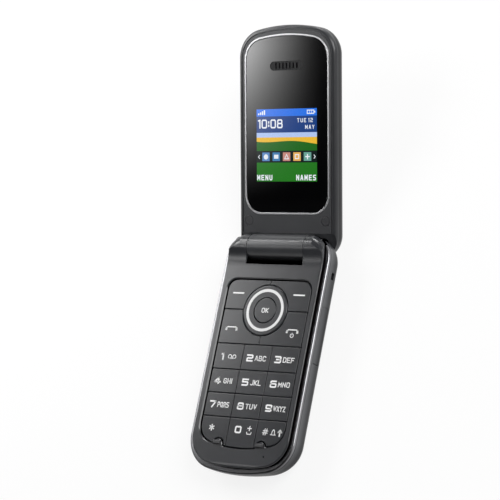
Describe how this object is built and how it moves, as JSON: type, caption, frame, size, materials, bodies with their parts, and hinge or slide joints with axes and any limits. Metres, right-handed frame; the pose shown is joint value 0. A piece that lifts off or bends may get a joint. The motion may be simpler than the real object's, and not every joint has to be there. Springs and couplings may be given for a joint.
{
  "type": "flip phone",
  "caption": "Clamshell mobile phone lying open on its back: keypad base with pressing keys, folding display lid on a barrel hinge, side connector flap and sliding battery cover.",
  "frame": {"origin": "centre of the flat rear face of the base, which the phone lies on", "axes": "+Z out of the keypad, +Y along the base towards the hinge and the opened lid, +X towards the side with the connector flap"},
  "size_m": [0.0474, 0.172, 0.0341],
  "materials": {
    "graphite_plastic": "satin paint over moulded plastic",
    "lid_metallic_plastic": "metallic grey paint",
    "flap_elastomer": "satin elastomer",
    "plated_trim": "satin metallised plastic",
    "black_rubber": "matt",
    "silicone": "translucent silicone",
    "sheet_steel": "pressed and tinned",
    "turned_steel": "turned",
    "circuit_board": "solder mask",
    "board_plastic": "moulded",
    "battery_can": "satin wrap",
    "contact_brass": "gold flashed",
    "key_plastic": "satin paint",
    "bright_inlay": "bright plated",
    "plated_ring": "polished plating",
    "gloss_black_window": "hard-coated and printed behind",
    "grille_plastic": "satin",
    "display_glass": "glass in a metal frame",
    "light_guide": "clear moulding with white film",
    "flex_film": "amber film"
  },
  "bodies": {
    "base": {"front_housing": "graphite_plastic", "trim_band": "plated_trim", "rear_housing": "graphite_plastic", "keypad_mat": "silicone", "key_domes": "sheet_steel", "main_board": "circuit_board", "board_shield": "sheet_steel", "microphone": "turned_steel", "vibration_motor": "turned_steel", "loudspeaker": "turned_steel", "antenna_carrier": "board_plastic", "charging_socket": "sheet_steel", "battery": "battery_can", "battery_contacts": "contact_brass", "sim_holder": "sheet_steel", "housing_screws": "turned_steel", "hinge_bush": "turned_steel", "hinge_spindle": "turned_steel", "lid_bumpers": "black_rubber"},
    "cover": {"battery_cover": "graphite_plastic"},
    "flap": {"connector_flap": "flap_elastomer"},
    "key_1": {"key_1": "key_plastic"},
    "key_2": {"key_2": "key_plastic"},
    "key_3": {"key_3": "key_plastic"},
    "key_4": {"key_4": "key_plastic"},
    "key_5": {"key_5": "key_plastic"},
    "key_6": {"key_6": "key_plastic"},
    "key_7": {"key_7": "key_plastic"},
    "key_8": {"key_8": "key_plastic"},
    "key_9": {"key_9": "key_plastic"},
    "key_star": {"key_star": "key_plastic"},
    "key_0": {"key_0": "key_plastic"},
    "key_hash": {"key_hash": "key_plastic"},
    "soft_key_left": {"soft_key_left": "key_plastic"},
    "soft_key_right": {"soft_key_right": "key_plastic"},
    "call_key": {"call_key": "key_plastic"},
    "end_key": {"end_key": "key_plastic"},
    "ok_key": {"ok_key": "key_plastic"},
    "nav_gimbal": {"nav_carrier": "board_plastic"},
    "nav_ring": {"nav_key": "key_plastic", "nav_inlay": "bright_inlay"},
    "lid": {"lid_inner_frame": "graphite_plastic", "lid_outer_shell": "lid_metallic_plastic", "window_ring": "plated_ring", "display_window": "gloss_black_window", "earpiece_grille": "grille_plastic", "display_module": "display_glass", "backlight": "light_guide", "lid_board": "circuit_board", "earpiece": "turned_steel", "lid_magnet": "turned_steel", "screw_plugs": "black_rubber", "lid_screws": "turned_steel", "hinge_cartridge": "turned_steel", "display_flex": "flex_film"}
  },
  "joints": [
    {"name": "lid_hinge", "type": "hinge", "parent": "base", "child": "lid", "pos_m": [0, 0.0419, 0.00896], "axis": [1, 0, 0], "range_deg": [0, 160]},
    {"name": "cover_slide", "type": "slide", "parent": "base", "child": "cover", "axis": [0, -1, 0], "range_m": [0, 0.09]},
    {"name": "flap_hinge", "type": "hinge", "parent": "base", "child": "flap", "pos_m": [0.02318, -0.00202, 0.0068], "axis": [0, 0, -1], "range_deg": [0, 90]},
    {"name": "key_1_press", "type": "slide", "parent": "base", "child": "key_1", "axis": [0, 0, -1], "range_m": [0, 0.00025], "stiffness_N_per_m": 1500},
    {"name": "key_2_press", "type": "slide", "parent": "base", "child": "key_2", "axis": [0, 0, -1], "range_m": [0, 0.00025], "stiffness_N_per_m": 1500},
    {"name": "key_3_press", "type": "slide", "parent": "base", "child": "key_3", "axis": [0, 0, -1], "range_m": [0, 0.00025], "stiffness_N_per_m": 1500},
    {"name": "key_4_press", "type": "slide", "parent": "base", "child": "key_4", "axis": [0, 0, -1], "range_m": [0, 0.00025], "stiffness_N_per_m": 1500},
    {"name": "key_5_press", "type": "slide", "parent": "base", "child": "key_5", "axis": [0, 0, -1], "range_m": [0, 0.00025], "stiffness_N_per_m": 1500},
    {"name": "key_6_press", "type": "slide", "parent": "base", "child": "key_6", "axis": [0, 0, -1], "range_m": [0, 0.00025], "stiffness_N_per_m": 1500},
    {"name": "key_7_press", "type": "slide", "parent": "base", "child": "key_7", "axis": [0, 0, -1], "range_m": [0, 0.00025], "stiffness_N_per_m": 1500},
    {"name": "key_8_press", "type": "slide", "parent": "base", "child": "key_8", "axis": [0, 0, -1], "range_m": [0, 0.00025], "stiffness_N_per_m": 1500},
    {"name": "key_9_press", "type": "slide", "parent": "base", "child": "key_9", "axis": [0, 0, -1], "range_m": [0, 0.00025], "stiffness_N_per_m": 1500},
    {"name": "key_star_press", "type": "slide", "parent": "base", "child": "key_star", "axis": [0, 0, -1], "range_m": [0, 0.00025], "stiffness_N_per_m": 1500},
    {"name": "key_0_press", "type": "slide", "parent": "base", "child": "key_0", "axis": [0, 0, -1], "range_m": [0, 0.00025], "stiffness_N_per_m": 1500},
    {"name": "key_hash_press", "type": "slide", "parent": "base", "child": "key_hash", "axis": [0, 0, -1], "range_m": [0, 0.00025], "stiffness_N_per_m": 1500},
    {"name": "soft_key_left_press", "type": "slide", "parent": "base", "child": "soft_key_left", "axis": [0, 0, -1], "range_m": [0, 0.00025], "stiffness_N_per_m": 1500},
    {"name": "soft_key_right_press", "type": "slide", "parent": "base", "child": "soft_key_right", "axis": [0, 0, -1], "range_m": [0, 0.00025], "stiffness_N_per_m": 1500},
    {"name": "call_key_press", "type": "slide", "parent": "base", "child": "call_key", "axis": [0, 0, -1], "range_m": [0, 0.00025], "stiffness_N_per_m": 1500},
    {"name": "end_key_press", "type": "slide", "parent": "base", "child": "end_key", "axis": [0, 0, -1], "range_m": [0, 0.00025], "stiffness_N_per_m": 1500},
    {"name": "ok_key_press", "type": "slide", "parent": "base", "child": "ok_key", "axis": [0, 0, -1], "range_m": [0, 0.00025], "stiffness_N_per_m": 1500},
    {"name": "nav_rock_up_down", "type": "hinge", "parent": "base", "child": "nav_gimbal", "pos_m": [0, 0.0162, 0.0107], "axis": [1, 0, 0], "range_deg": [-1.5, 1.5], "stiffness_Nm_per_rad": 0.45},
    {"name": "nav_rock_left_right", "type": "hinge", "parent": "nav_gimbal", "child": "nav_ring", "pos_m": [0, 0.0162, 0.0107], "axis": [0, 1, 0], "range_deg": [-1.5, 1.5], "stiffness_Nm_per_rad": 0.45}
  ]
}
